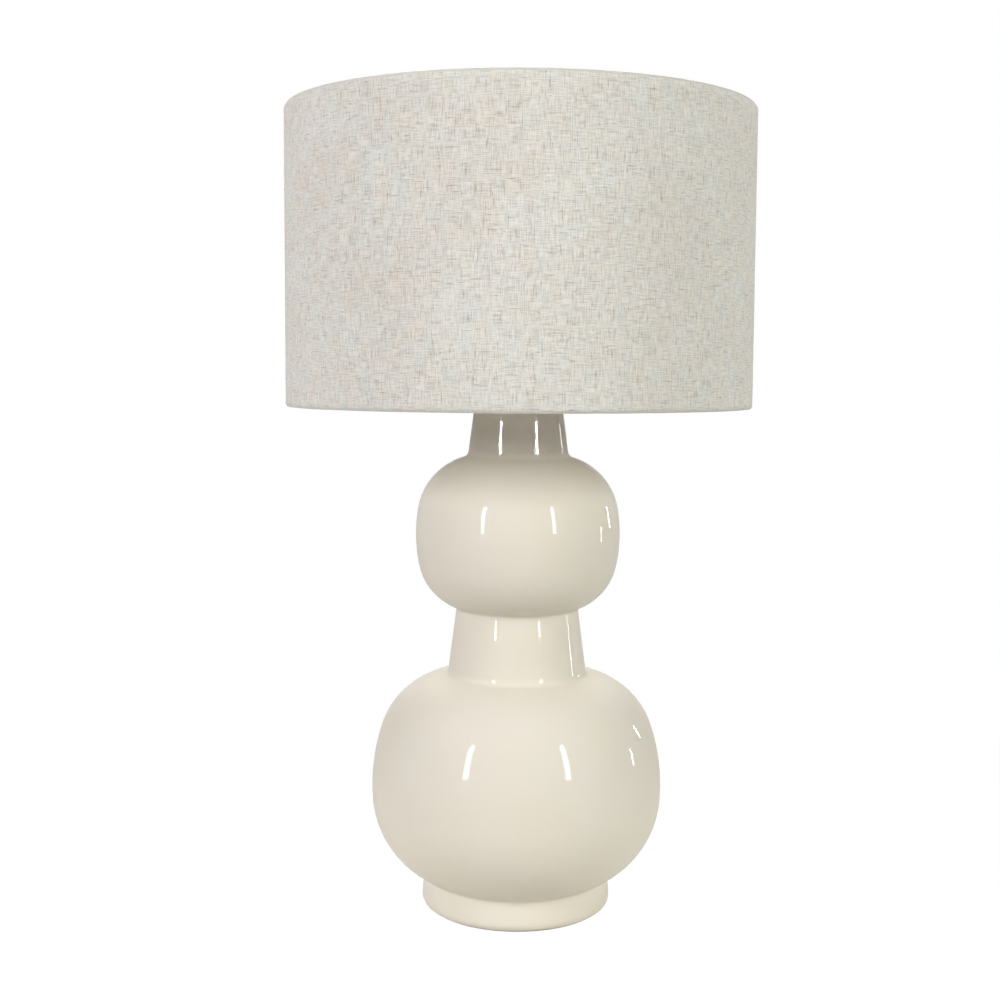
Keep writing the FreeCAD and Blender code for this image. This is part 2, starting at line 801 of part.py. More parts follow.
def switch_shaft():
    return forward_rod(shaft_r, -shaft_reach, -cam_thickness / 2, switch_z)


def switch_cam():
    """Cross-shaped cam that opens and closes the contacts at each quarter turn."""
    half = cam_arm_width / 2
    y0, y1 = -cam_thickness / 2, cam_thickness / 2
    across = block(-cam_r, cam_r, y0, y1, switch_z - half, switch_z + half)
    upright = block(-half, half, y0, y1, switch_z - cam_r, switch_z + cam_r)
    return across.fuse(upright).removeSplitter().common(forward_rod(cam_r, y0, y1, switch_z))


def switch_knob():
    """Fluted knob pushed on the shaft's tip."""
    front = -(shaft_reach + knob_end)
    back = front + knob_length
    knob = forward_rod(knob_r, front, back, switch_z)
    knob = knob.makeFillet(knob_edge_round, [e for e in knob.Edges if abs(e.CenterOfMass.y - front) < 1e-6])
    groove = forward_rod(knob_groove_r, front, back, switch_z + knob_r)
    for i in range(knob_grooves):
        knob = knob.cut(groove.rotated(V(0, 0, switch_z), BACK, 360 * i / knob_grooves))
    return knob.cut(forward_rod(shaft_r + running, -shaft_reach, back, switch_z))


def bulb_outline(inset, bottom_z):
    """Bulb glass from its open neck up to the crown, inset into the glass."""
    ball, neck = bulb_r - inset, bulb_neck_r - inset
    fillet = bulb_neck_arc + inset
    drop = math.sqrt((ball + fillet) ** 2 - (neck + fillet) ** 2)
    centre = (0, bulb_centre_z)
    waist = (neck + fillet, bulb_centre_z - drop)
    meet = angle_of(centre, waist)
    return turned(
        (0, bottom_z),
        (neck, bottom_z),
        arc(waist, fillet, 180, angle_of(waist, centre) % 360),
        arc(centre, ball, meet, 90),
    )


def bulb_glass():
    bottom = cap_high_z - bulb_cement_depth
    return bulb_outline(0, bottom).cut(bulb_outline(bulb_glass_sheet, bottom))


def bulb_cap():
    """Screw cap that the glass is cemented into, its thread drawn as a plain wall."""
    low_r = bulb_cap_r - bulb_cap_shoulder
    inner = bulb_neck_r + snug
    step = cap_low_z + bulb_cap_sheet
    return turned(
        (low_r, cap_low_z),
        (bulb_cap_r, step),
        (bulb_cap_r, cap_high_z),
        (inner, cap_high_z),
        (inner, step),
        (low_r, step),
    )


def bulb_insulator():
    """Glass plug that closes the cap round its tip."""
    plug_r = bulb_cap_r - bulb_cap_shoulder - running
    return turned(
        (0, insulator_z),
        (bulb_tip_r, insulator_z),
        (plug_r, cap_low_z),
        (plug_r, cap_low_z + bulb_cap_sheet),
        (0, cap_low_z + bulb_cap_sheet),
    )


def bulb_tip():
    return turned(
        (0, bulb_z),
        (bulb_tip_r - bulb_tip_height / 2, bulb_z),
        (bulb_tip_r, bulb_z + bulb_tip_height / 2),
        (bulb_tip_r, insulator_z),
        (0, insulator_z),
    )


PARTS = {
    "ceramic_body": ceramic_body,
    "felt_pad": felt_pad,
    "cord_bushing": cord_bushing,
    "threaded_rod": threaded_rod,
    "base_washer": lambda: tube(washer_r, bore_on_rod, washer_z, floor_under_z),
    "base_lock_washer": lock_washer,
    "base_nut": lambda: hexagon(nut_flats, bottom_nut_z, lock_washer_z, bore_on_rod),
    "vase_cap": vase_cap,
    "neck_nut": lambda: hexagon(nut_flats, cap_top_z, saddle_z, bore_on_rod),
    "harp_saddle": harp_saddle,
    "harp_bow": harp_bow,
    "harp_swivel": harp_swivel,
    "ferrule_left": lambda: ferrule(-1),
    "ferrule_right": lambda: ferrule(1),
    "shade_linen": shade_linen,
    "shade_liner": shade_liner,
    "shade_top_ring": lambda: shade_ring(top_ring_z),
    "shade_bottom_ring": lambda: shade_ring(bottom_ring_z),
    "spider_hub": lambda: tube(hub_r, stud_r + slip, hub_z, hub_z + hub_thickness),
    "spider_arms": spider_arms,
    "finial": finial,
    "holder_cap": holder_cap,
    "holder_set_screw": holder_set_screw,
    "holder_shell": holder_shell,
    "holder_sleeve": holder_sleeve,
    "switch_core": switch_core,
    "terminal_screws": terminal_screws,
    "screw_shell": screw_shell,
    "centre_contact": centre_contact,
    "switch_shaft": switch_shaft,
    "switch_cam": switch_cam,
    "switch_knob": switch_knob,
    "bulb_glass": bulb_glass,
    "bulb_cap": bulb_cap,
    "bulb_insulator": bulb_insulator,
    "bulb_tip": bulb_tip,
}

os.makedirs("parts", exist_ok=True)
for name, make in PARTS.items():
    shape = make()
    shape.exportStep(os.path.join("parts", name + ".step"))
    box = shape.BoundBox
    print(f"{name:20s} {len(shape.Solids)} solid(s) valid={shape.isValid()} volume {shape.Volume / 1000:9.3f} cm3"
          f"  x {box.XMin:7.1f} {box.XMax:7.1f}  y {box.YMin:7.1f} {box.YMax:7.1f}  z {box.ZMin:6.1f} {box.ZMax:6.1f}")
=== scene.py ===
"""Looks of the double gourd table lamp: ivory glaze, slub linen and satin brass on a plain pale floor.

Outlines are drawn in millimetres as (r, z) and turned about the lamp's axis, then scaled to metres.
"""
import json
import math

import bmesh
import bpy
from mathutils import Matrix, Vector


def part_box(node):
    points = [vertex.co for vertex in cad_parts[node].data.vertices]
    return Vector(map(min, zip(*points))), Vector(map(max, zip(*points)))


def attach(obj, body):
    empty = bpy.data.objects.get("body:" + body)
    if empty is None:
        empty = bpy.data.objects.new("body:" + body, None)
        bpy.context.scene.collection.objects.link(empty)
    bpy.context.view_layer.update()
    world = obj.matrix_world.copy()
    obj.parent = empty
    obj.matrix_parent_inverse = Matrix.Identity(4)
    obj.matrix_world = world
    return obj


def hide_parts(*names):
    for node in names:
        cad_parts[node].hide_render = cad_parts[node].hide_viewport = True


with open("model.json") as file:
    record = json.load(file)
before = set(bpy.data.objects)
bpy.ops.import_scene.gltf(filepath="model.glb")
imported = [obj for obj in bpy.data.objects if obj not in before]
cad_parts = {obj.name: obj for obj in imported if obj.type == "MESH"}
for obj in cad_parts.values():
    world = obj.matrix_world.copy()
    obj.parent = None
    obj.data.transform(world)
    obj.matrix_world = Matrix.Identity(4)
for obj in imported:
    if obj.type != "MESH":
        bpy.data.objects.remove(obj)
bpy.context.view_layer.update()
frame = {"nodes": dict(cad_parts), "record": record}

MM = 0.001
nodes = frame["nodes"]

# Camera, fitted to the photograph
camera_place = Vector((-16.3, -1312.0, 474.7)) * MM
camera_pitch = 5.06                      # degrees, looking down
camera_roll = 0.315
focal_px = 1510.0                        # of a picture 1000 pixels wide
sensor = 36.0

# Studio, in metres
room_light = 0.08                        # on the lamp from all round, where 1 is white
floor_size = 12.0
shadow_reach, plain_reach = 0.25, 0.9    # from the axis, where the floor's shadow starts and ends to fade
studio_middle = (0, 0, 0.35)             # where the soft lights point
strip_radiance = 46.0                    # of the lights that only make highlights

# Glazed body, as in the CAD
felt_thickness = 1.5
foot_r = 82.7
foot_edge_inset = 4.1
foot_belly_height = 6.9
foot_taper_r = 66.8
foot_ring_width = 8.7
gourd_spacing = 221.8
lower_rise = 106.1
wall = 5.0
floor_thickness = 6.0
rod_hole_r = 6.2
collar_bottom_r, collar_top_r = 60.7, 53.5
neck_bottom_r, neck_top_r = 43.6, 39.0
neck_height = 38.4
foot_crease, collar_crease, upper_crease, neck_crease = 2.2, 5.0, 2.2, 6.0
rim_round = 2.5
cord_hole_r = 4.8
cord_hole_z = 11.0

# Shade
shade_r = 200.0
linen = 0.6
ring_wire_r = 1.5
roll_gap = 0.06
hem_r = linen + ring_wire_r + roll_gap
seam_overlap = 12.0
seam_proud = 0.5
lap_cloth = 0.45

# Felt pad
felt_edge_round = 0.4

# Fineness of the meshes
turn_steps = 192                         # round the lamp's axis
felt_turn_steps = 96
lap_turn_steps = 6
drill_turn_steps = 48
fine_step = 2.6                          # mm between points of a visible arc
cloth_step = 3.0
felt_step = 6.0
coarse_step = 9.0                        # inside the ceramic
fewest_arc_steps = 4
merged = 0.01                            # points closer than this are one


# ---------------------------------------------------------------- drawing

def polar(centre, radius, degrees):
    """The point at a radius from centre, in a direction given in degrees above the outward one."""
    a = math.radians(degrees)
    return (centre[0] + radius * math.cos(a), centre[1] + radius * math.sin(a))


def angle_of(centre, point):
    """The direction of a point as seen from centre, in degrees above the outward one."""
    return math.degrees(math.atan2(point[1] - centre[1], point[0] - centre[0]))


def towards(start, end, share):
    """The point that lies a share of the way from start to end."""
    return (start[0] + (end[0] - start[0]) * share, start[1] + (end[1] - start[1]) * share)


class Arc:
    """Stretch of a circle from one angle to another, in degrees above the outward direction."""

    def __init__(self, centre, radius, start, end):
        self.centre, self.radius, self.start, self.end = centre, radius, start, end

    def first(self):
        """The point where the arc starts."""
        return polar(self.centre, self.radius, self.start)


class Gourd:
    """One swelling of the body: a wide side arc, carried on by a tighter arc below and one above."""

    def __init__(self, radius, mid_z, side_arc, under_turn, under_arc, over_turn, over_arc):
        self.mid = (radius - side_arc, mid_z)
        self.side_arc = side_arc
        self.under_turn, self.under_arc = under_turn, under_arc
        self.over_turn, self.over_arc = over_turn, over_arc
        self.under = polar(self.mid, side_arc - under_arc, -under_turn)
        self.over = polar(self.mid, side_arc - over_arc, over_turn)
        self.bottom_z = self.under[1] - under_arc
        self.crown_z = self.over[1] + over_arc

    def arcs(self, start, end, inset):
        """The outline from start to end, both on the gourd, moved into the clay by inset."""
        return [
            Arc(self.under, self.under_arc - inset, angle_of(self.under, start), -self.under_turn),
            Arc(self.mid, self.side_arc - inset, -self.under_turn, self.over_turn),
            Arc(self.over, self.over_arc - inset, self.over_turn, angle_of(self.over, end)),
        ]


lower = Gourd(127.1, felt_thickness + lower_rise, 166.6, 3.66, 83.1, 18.48, 67.5)
upper = Gourd(88.9, felt_thickness + lower_rise + gourd_spacing, 132.8, 11.88, 50.65, 9.75, 56.2)
flat_ring_r = foot_r - foot_edge_inset
belly_z = felt_thickness + foot_belly_height
recess_r = foot_r - foot_ring_width
floor_top_z = lower.bottom_z + wall
neck_bottom_z = upper.crown_z
neck_top_z = neck_bottom_z + neck_height


def leaned(bottom, top, inset):
    """Both ends of a leaning straight side, moved square into the clay by inset."""
    shift = inset * math.hypot(top[0] - bottom[0], top[1] - bottom[1]) / (top[1] - bottom[1])
    return (bottom[0] - shift, bottom[1]), (top[0] - shift, top[1])


def line_crease(centre, radius, line_start, line_end, fillet):
    """Fillet outside a circle and the straight side that stands on it.

    Gives the fillet's centre, its end on the circle and its end on the side.
    """
    dr, dz = line_end[0] - line_start[0], line_end[1] - line_start[1]
    length = math.hypot(dr, dz)
    normal = (abs(dz) / length, -dr / length if dz > 0 else dr / length)
    foot = (line_start[0] + normal[0] * fillet, line_start[1] + normal[1] * fillet)
    along = (dr / length, dz / length)
    to_foot = (foot[0] - centre[0], foot[1] - centre[1])
    b = to_foot[0] * along[0] + to_foot[1] * along[1]
    c = to_foot[0] ** 2 + to_foot[1] ** 2 - (radius + fillet) ** 2
    t = -b + math.sqrt(b * b - c)
    middle = (foot[0] + along[0] * t, foot[1] + along[1] * t)
    on_circle = towards(centre, middle, radius / (radius + fillet))
    on_side = (middle[0] - normal[0] * fillet, middle[1] - normal[1] * fillet)
    return middle, on_circle, on_side


def circle_crease(first, first_r, second, second_r, fillet):
    """Fillet outside two circles that cross, the first below the second: centre and both ends."""
    apart = math.hypot(second[0] - first[0], second[1] - first[1])
    a, b = first_r + fillet, second_r + fillet
    along = (a * a - b * b + apart * apart) / (2 * apart)
    across = math.sqrt(a * a - along * along)
    ur, uz = (second[0] - first[0]) / apart, (second[1] - first[1]) / apart
    middle = (first[0] + ur * along + uz * across, first[1] + uz * along - ur * across)
    on_first = towards(first, middle, first_r / (first_r + fillet))
    on_second = towards(second, middle, second_r / (second_r + fillet))
    return middle, on_first, on_second


def crease_arc(middle, fillet, start, end):
    """A fillet's arc from start to end, on the side of its centre that faces the clay."""
    return Arc(middle, fillet, angle_of(middle, start) % 360, angle_of(middle, end) % 360)


def body_side(start, inset):
    """The body's side, inset into the clay, from a point on the lower gourd's underside up to the neck."""
    collar = leaned((collar_bottom_r, lower.crown_z), (collar_top_r, upper.bottom_z), inset)
    neck = leaned((neck_bottom_r, neck_bottom_z), (neck_top_r, neck_top_z), inset)
    fillets = [size + inset for size in (collar_crease, upper_crease, neck_crease)]
    c1, a1, b1 = line_crease(lower.over, lower.over_arc - inset, *collar, fillets[0])
    c2, a2, b2 = line_crease(upper.under, upper.under_arc - inset, *reversed(collar), fillets[1])
    c3, a3, b3 = line_crease(upper.over, upper.over_arc - inset, *neck, fillets[2])
    return [
        *lower.arcs(start, a1, inset),
        crease_arc(c1, fillets[0], a1, b1),
        crease_arc(c2, fillets[1], b2, a2),
        *upper.arcs(a2, a3, inset),
        crease_arc(c3, fillets[2], a3, b3),
    ]


def draw(mesh, start, parts, step):
    """Edges from start through points and arcs. Each vertex keeps how far along the outline it is."""
    along = mesh.verts.layers.float.get("along") or mesh.verts.layers.float.new("along")
    tip = mesh.verts.new((start[0], 0, start[1]))
    first = tip
    for part in parts:
        target = part.first() if isinstance(part, Arc) else part
        run = Vector((target[0] - tip.co.x, 0, target[1] - tip.co.z))
        count = max(1, round(run.length / step)) if run.length > merged else 0
        for _ in range(count):
            made = bmesh.ops.extrude_vert_indiv(mesh, verts=[tip])["verts"][0]
            made.co = tip.co + run / count
            made[along] = tip[along] + run.length / count
            tip = made
        if isinstance(part, Arc):
            turn = math.radians(part.end - part.start)
            count = max(fewest_arc_steps, round(abs(turn) * part.radius / step))
            for _ in range(count):
                made = bmesh.ops.spin(
                    mesh, geom=[tip], cent=(part.centre[0], 0, part.centre[1]), axis=(0, -1, 0),
                    angle=turn / count, steps=1, use_merge=False)["geom_last"]
                before, tip = tip, [v for v in made if isinstance(v, bmesh.types.BMVert)][0]
                tip[along] = before[along] + abs(turn) * part.radius / count
    return first, tip


def lathe(mesh, steps=turn_steps):
    """Turns the outline about the lamp's axis into a closed skin that faces outwards, in metres."""
    bmesh.ops.spin(
        mesh, geom=mesh.verts[:] + mesh.edges[:], cent=(0, 0, 0), axis=(0, 0, 1),
        angle=2 * math.pi, steps=steps, use_merge=True)
    bmesh.ops.remove_doubles(mesh, verts=mesh.verts[:], dist=merged)
    bmesh.ops.recalc_face_normals(mesh, faces=mesh.faces[:])
    bmesh.ops.scale(mesh, vec=(MM, MM, MM), verts=mesh.verts[:])


def piece(name, mesh, body, slot, *materials, sharp=35):
    """Makes a finished mesh, in metres, into an object that rides on a body and has its materials.

    Edges that turn by more than sharp degrees stay crisp.
    """
    data = bpy.data.meshes.new(name)
    mesh.to_mesh(data)
    mesh.free()
    data.shade_smooth()
    data.set_sharp_from_angle(angle=math.radians(sharp))
    for each in materials:
        data.materials.append(each)
    made = bpy.data.objects.new(name, data)
    bpy.context.scene.collection.objects.link(made)
    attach(made, body)
    return made


# ---------------------------------------------------------------- materials

def tone(code):
    """Linear colour from an sRGB hex code."""
    parts = [int(code[i:i + 2], 16) / 255 for i in (1, 3, 5)]
    return (*[p / 12.92 if p <= 0.04045 else ((p + 0.055) / 1.055) ** 2.4 for p in parts], 1.0)


def per(size):
    """Scale, in the metres of the coordinates, of a pattern whose marks are about size millimetres wide."""
    return 1 / (size * MM)


def add(tree, kind, inputs=None, out=0, **settings):
    """Adds a node with its settings, sets or links its inputs, and hands on one of its outputs."""
    made = tree.nodes.new(kind)
    for key, value in settings.items():
        setattr(made, key, value)
    for key, value in (inputs or {}).items():
        if isinstance(value, bpy.types.NodeSocket):
            tree.links.new(value, made.inputs[key])
        else:
            made.inputs[key].default_value = value
    return made.outputs[out] if made.outputs else None


def surface(name, values):
    """New material with constants on its Principled shader: the material, its tree and that shader."""
    made = bpy.data.materials.new(name)
    made.use_nodes = True
    shader = made.node_tree.nodes["Principled BSDF"]
    for key, value in values.items():
        shader.inputs[key].default_value = value
    return made, made.node_tree, shader


def join(tree, shader, sockets):
    """Links each socket to the shader's input that it is listed under."""
    for key, value in sockets.items():
        tree.links.new(value, shader.inputs[key])


def glazed_stoneware():
    """Poured gloss glaze: sharp highlights that waver a little, faint clouds and rare pinholes.

    The gloss is the coat's alone, so that pale surroundings don't wash the ivory out.
    """
    cloud, pinhole, ripple_width, ripple_height = 70, 1.6, 26, 0.07
    made, tree, shader = surface("poured ivory glaze on stoneware", {
        "Roughness": 0.5, "IOR": 1.5, "Specular IOR Level": 0.0,
        "Coat Weight": 0.22, "Coat Roughness": 0.01, "Coat IOR": 1.5})
    place = add(tree, "ShaderNodeTexCoord", out="Object")
    clouds = add(tree, "ShaderNodeTexNoise", {"Vector": place, "Scale": per(cloud), "Detail": 2.0})
    thin = add(tree, "ShaderNodeMapRange", {"Value": clouds, "From Min": 0.35, "From Max": 0.65})
    body = add(tree, "ShaderNodeMix", {0: thin, 6: tone("#ECE7DE"), 7: tone("#EBE5D9")}, 2, data_type="RGBA")
    pins = add(tree, "ShaderNodeTexNoise", {"Vector": place, "Scale": per(pinhole), "Detail": 1.0})
    pinned = add(tree, "ShaderNodeMapRange", {
        "Value": pins, "From Min": 0.80, "From Max": 0.84, "To Max": 0.35})
    body = add(tree, "ShaderNodeMix", {0: pinned, 6: body, 7: tone("#B79F7E")}, 2, data_type="RGBA")
    ripple = add(tree, "ShaderNodeTexNoise", {"Vector": place, "Scale": per(ripple_width), "Detail": 1.5})
    relief = add(tree, "ShaderNodeBump", {"Height": ripple, "Distance": ripple_height * MM})
    join(tree, shader, {"Base Color": body, "Normal": relief})
    return made


def bare_stoneware():
    """Fired clay without glaze under the foot: sandy, dull and warmer than the glaze."""
    sand_grain, sand_height = 0.8, 0.12
    made, tree, shader = surface("unglazed fired stoneware", {"Roughness": 0.85, "IOR": 1.5})
    place = add(tree, "ShaderNodeTexCoord", out="Object")
    sand = add(tree, "ShaderNodeTexNoise", {"Vector": place, "Scale": per(sand_grain), "Detail": 3.0})
    body = add(tree, "ShaderNodeMix", {0: sand, 6: tone("#B9A78C"), 7: tone("#D3C3A9")}, 2, data_type="RGBA")
    relief = add(tree, "ShaderNodeBump", {"Height": sand, "Distance": sand_height * MM})
    join(tree, shader, {"Base Color": body, "Normal": relief})
    return made


def slub_linen():
    """Plain woven linen of uneven yarns: matt, greyed ivory, with short darker slubs both ways and warm and
    cool patches where the yarn's dye lots differ.

    Its real threads lie about 0.5 mm apart, too fine to show, so they are drawn 0.8 mm apart. The marks
    are given by their width round the shade and their height up it, in millimetres.
    """
    thread, thread_run, thread_height = 0.8, 12, 0.25
    made, tree, shader = surface("plain woven slub linen", {
        "Roughness": 0.95, "Diffuse Roughness": 0.4, "IOR": 1.45, "Specular IOR Level": 0.05,
        "Sheen Weight": 0.03, "Sheen Roughness": 0.5})
    cloth = add(tree, "ShaderNodeTexCoord", out="UV")
    yarns = []
    for width, height in ((thread_run, thread), (thread, thread_run)):
        run = add(tree, "ShaderNodeMapping", {"Vector": cloth, "Scale": (per(width), per(height), 1)})
        yarns.append(add(tree, "ShaderNodeTexNoise", {
            "Vector": run, "Scale": 1.0, "Detail": 2.5, "Roughness": 0.6}))
    weave = add(tree, "ShaderNodeMath", {0: yarns[0], 1: yarns[1]}, operation="ADD")
    raised = add(tree, "ShaderNodeMapRange", {"Value": weave, "From Min": 0.70, "From Max": 1.12})
    colour = add(tree, "ShaderNodeMix", {
        0: raised, 6: tone("#D5D3CF"), 7: tone("#FAFAFA")}, 2, data_type="RGBA")
    dye_lots = ((17, "#FAF5EE", "#F5F7F6", 0.55), (75, "#F7F3EF", "#FCFDFC", 0.5))
    for size, warm, cool, share in dye_lots:
        patches = add(tree, "ShaderNodeTexNoise", {"Vector": cloth, "Scale": per(size), "Detail": 3.0})
        cooler = add(tree, "ShaderNodeMapRange", {"Value": patches, "From Min": 0.38, "From Max": 0.62})
        dye = add(tree, "ShaderNodeMix", {0: cooler, 6: tone(warm), 7: tone(cool)}, 2, data_type="RGBA")
        colour = add(tree, "ShaderNodeMix", {0: share, 6: colour, 7: dye}, 2, data_type="RGBA",
                     blend_type="MULTIPLY")
    slubs = (
        (15, 0.9, 0.625, 0.74, "#A89478", 0.55),     # beige, along the weft
        (0.9, 15, 0.625, 0.74, "#A4937B", 0.55),     # beige, along the warp
        (9, 0.8, 0.655, 0.76, "#8B8680", 0.55),      # grey, along the weft
        (0.8, 9, 0.655, 0.76, "#8D8883", 0.55),      # grey, along the warp
        (2.2, 1.6, 0.740, 0.79, "#77736F", 0.60),    # dark knots
        (5, 0.9, 0.740, 0.78, "#B98460", 0.70),      # rust fibres
    )
    apart = (31.7, 17.3, 5.1)                    # so that no two kinds of slub fall in the same places
    for number, (width, height, low, high, code, most) in enumerate(slubs):
        run = add(tree, "ShaderNodeMapping", {
            "Vector": cloth, "Location": tuple(shift * number for shift in apart),
            "Scale": (per(width), per(height), 1)})
        streak = add(tree, "ShaderNodeTexNoise", {"Vector": run, "Scale": 1.0, "Detail": 1.5})
        shown = add(tree, "ShaderNodeMapRange", {
            "Value": streak, "From Min": low, "From Max": high, "To Max": most})
        colour = add(tree, "ShaderNodeMix", {0: shown, 6: colour, 7: tone(code)}, 2, data_type="RGBA")
    relief = add(tree, "ShaderNodeBump", {"Height": weave, "Distance": thread_height * MM})
    join(tree, shader, {"Base Color": colour, "Normal": relief})
    return made


def grey_felt():
    """Pressed wool felt: dull, with matted fibres lighter than the ground."""
    fibre, fibre_height = 0.9, 0.25
    made, tree, shader = surface("pressed wool felt", {
        "Roughness": 1.0, "Sheen Weight": 0.4, "Sheen Roughness": 0.6})
    place = add(tree, "ShaderNodeTexCoord", out="Object")
    fibres = add(tree, "ShaderNodeTexNoise", {
        "Vector": place, "Scale": per(fibre), "Detail": 4.0, "Roughness": 0.7})
    body = add(tree, "ShaderNodeMix", {
        0: fibres, 6: tone("#A9A49B"), 7: tone("#CFCAC1")}, 2, data_type="RGBA")
    relief = add(tree, "ShaderNodeBump", {"Height": fibres, "Distance": fibre_height * MM})
    join(tree, shader, {"Base Color": body, "Normal": relief})
    return made


def metal(name, bright, dull, rough, marks, depth, turned=False):
    """A metal with dulled patches and tool marks, which also vary its roughness a little.

    The marks are given as their size across x, y and z in millimetres, or, where the metal was turned, as
    the spacing of rings about the lamp's axis. Their depth is in millimetres too.
    """
    patch = 13
    made, tree, shader = surface(name, {"Metallic": 1.0})
    place = add(tree, "ShaderNodeTexCoord", out="Object")
    dulled = add(tree, "ShaderNodeTexNoise", {
        "Vector": place, "Scale": per(patch), "Detail": 4.0, "Roughness": 0.6})
    amount = add(tree, "ShaderNodeMapRange", {
        "Value": dulled, "From Min": 0.35, "From Max": 0.75, "To Max": 0.5})
    colour = add(tree, "ShaderNodeMix", {0: amount, 6: tone(bright), 7: tone(dull)}, 2, data_type="RGBA")
    if turned:
        flat = add(tree, "ShaderNodeVectorMath", {0: place, 1: (1, 1, 0)}, operation="MULTIPLY")
        reach = add(tree, "ShaderNodeVectorMath", {0: flat}, "Value", operation="LENGTH")
        up = add(tree, "ShaderNodeSeparateXYZ", {"Vector": place}, "Z")
        rings = add(tree, "ShaderNodeCombineXYZ", {"X": reach, "Z": up})
        grain = add(tree, "ShaderNodeTexNoise", {"Vector": rings, "Scale": per(marks), "Detail": 2.0})
    else:
        along = add(tree, "ShaderNodeMapping", {"Vector": place, "Scale": tuple(per(size) for size in marks)})
        grain = add(tree, "ShaderNodeTexNoise", {"Vector": along, "Scale": 1.0, "Detail": 2.0})
    sheen = add(tree, "ShaderNodeMapRange", {
        "Value": grain, "From Min": 0.25, "From Max": 0.75, "To Min": rough * 0.8, "To Max": rough * 1.25})
    relief = add(tree, "ShaderNodeBump", {"Height": grain, "Distance": depth * MM})
    join(tree, shader, {"Base Color": colour, "Roughness": sheen, "Normal": relief})
    return made


def moulded(name, light, dark, mottle, depth, values):
    """A moulded, cast, coated or pressed surface: two near colours in a mottle of the given millimetres."""
    made, tree, shader = surface(name, values)
    place = add(tree, "ShaderNodeTexCoord", out="Object")
    cloud = add(tree, "ShaderNodeTexNoise", {"Vector": place, "Scale": per(mottle), "Detail": 3.0})
    lighter = add(tree, "ShaderNodeMapRange", {"Value": cloud, "From Min": 0.35, "From Max": 0.65})
    body = add(tree, "ShaderNodeMix", {0: lighter, 6: tone(dark), 7: tone(light)}, 2, data_type="RGBA")
    relief = add(tree, "ShaderNodeBump", {"Height": cloud, "Distance": depth * MM})
    join(tree, shader, {"Base Color": body, "Normal": relief})
    return made


brass, dulled_brass = "#E3C68C", "#C2A067"
finishes = {
    "glazed_stoneware": glazed_stoneware(),
    "slub_linen": slub_linen(),
    "grey_felt": grey_felt(),
    # Spun and turned brass under lacquer: warm and satiny, with fine rings that draw the highlight out.
    "satin_brass": metal("spun satin brass, lacquered", brass, dulled_brass, 0.26, 0.7, 0.01, turned=True),
    # Zinc plate on turned steel: cool grey, with a fine crystalline bloom.
    "plated_steel": metal("zinc plate on turned steel", "#C9CACA", "#9C9FA0", 0.34, (1.2, 1.2, 1.2), 0.01),
    # Drawn aluminium: pale, streaked along the draw.
    "cap_aluminium": metal("drawn aluminium", "#D6D7D8", "#B4B5B7", 0.27, (0.5, 0.5, 3), 0.008),
    # Soldered dot: soft grey, smooth and a bit lumpy.
    "tin_solder": metal("cast tin solder", "#BDBDB8", "#94948F", 0.35, (2.5, 2.5, 2.5), 0.08),
    # Rolled white sheet behind the linen: even, faintly shiny.
    "styrene_liner": moulded("calendered styrene sheet", "#F2F0EA", "#EEEBE4", 30, 0.02,
                             {"Roughness": 0.42, "IOR": 1.55}),
    # Stoved enamel on wire: thick and white, with a slight orange peel.
    "ring_enamel": moulded("stoved white enamel on wire", "#ECE9E1", "#E2DED4", 2.5, 0.03,
                           {"Roughness": 0.3, "IOR": 1.5}),
    # Pressed phenolic: near black and glossy, with a fine flow mottle.
    "black_phenolic": moulded("compression-moulded phenolic", "#2A2725", "#1E1B1A", 3, 0.02,
                              {"Roughness": 0.28, "IOR": 1.6}),
    # Vulcanised fibre: pressed in layers, brown-grey and matt.
    "fibre_paper": moulded("vulcanised fibre sheet", "#6B6154", "#544B40", 1.4, 0.05,
                           {"Roughness": 0.75, "IOR": 1.5}),
    # Nylon bush: ivory and softly matt from a spark-eroded mould.
    "ivory_plastic": moulded("injection-moulded nylon", "#DDD3BF", "#D5CAB4", 1.0, 0.02,
                             {"Roughness": 0.45, "IOR": 1.53}),
    # Blown glass coated white inside: even, milky and glossy.
    "opal_glass": moulded("opal blown glass", "#F6F5F1", "#F1EFEA", 22, 0.02,
                          {"Roughness": 0.12, "IOR": 1.5, "Coat Weight": 0.4, "Coat Roughness": 0.03}),
    # Glass cast round the bulb's tip: black and very glossy.
    "clear_insulator": moulded("cast black glass", "#15151A", "#0F0F13", 4, 0.02,
                               {"Roughness": 0.08, "IOR": 1.52}),
}
clay = bare_stoneware()
# Drawn brass wire and strip, bent cold: the same lacquer, with soft marks that run every way.
drawn_brass = metal("drawn satin brass, lacquered", brass, dulled_brass, 0.28, (9, 9, 9), 0.004)
drawn_nodes = ("harp_bow", "harp_saddle", "spider_arms", "ferrule_left", "ferrule_right")


# ---------------------------------------------------------------- pieces

